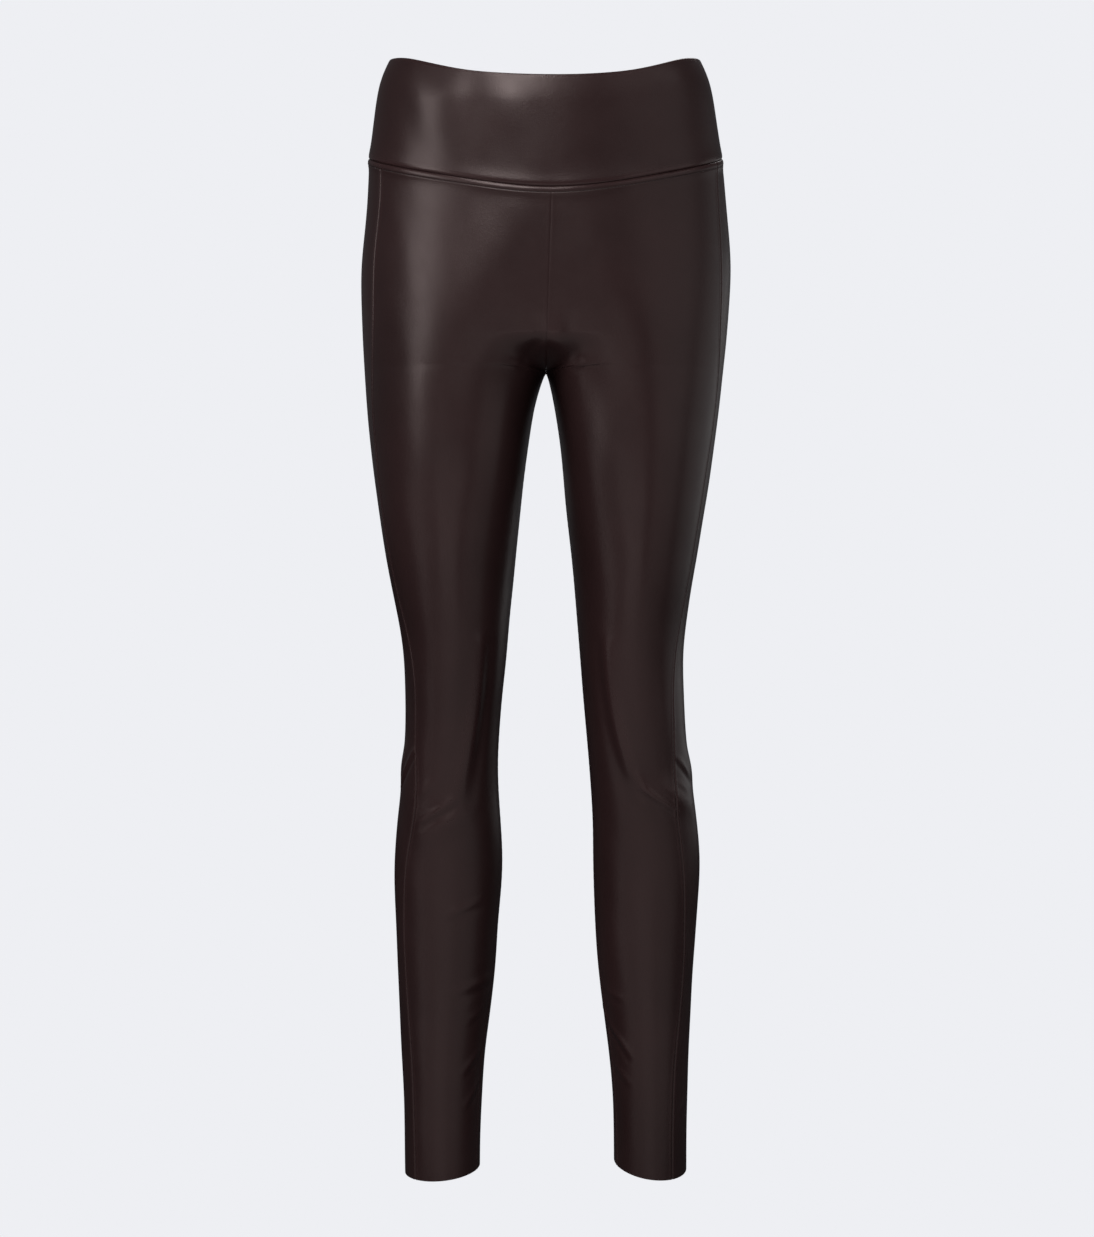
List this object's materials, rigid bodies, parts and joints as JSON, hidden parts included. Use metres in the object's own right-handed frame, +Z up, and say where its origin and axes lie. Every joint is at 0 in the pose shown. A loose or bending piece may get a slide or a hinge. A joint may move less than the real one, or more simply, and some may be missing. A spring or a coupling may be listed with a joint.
{
  "type": "leggings",
  "caption": "High-waisted leggings in leather-look coated stretch cloth, filled out as if worn, with a wide curved waistband, seamed legs and raw hems.",
  "frame": {"origin": "centre of the waist on the garment's middle plane, level with the middle of the waistband at its sides", "axes": "+Z up along the wearer, -Y the front, +X the wearer's left"},
  "size_m": [0.3287, 0.2219, 0.9933],
  "materials": {
    "waistband": "satin coated cloth, dark brown",
    "leg_panels": "satin coated cloth, dark brown"
  },
  "bodies": {
    "root": {"waistband_front": "waistband", "waistband_back": "waistband", "front_left": "leg_panels", "front_right": "leg_panels", "back_left": "leg_panels", "back_right": "leg_panels"}
  },
  "joints": []
}
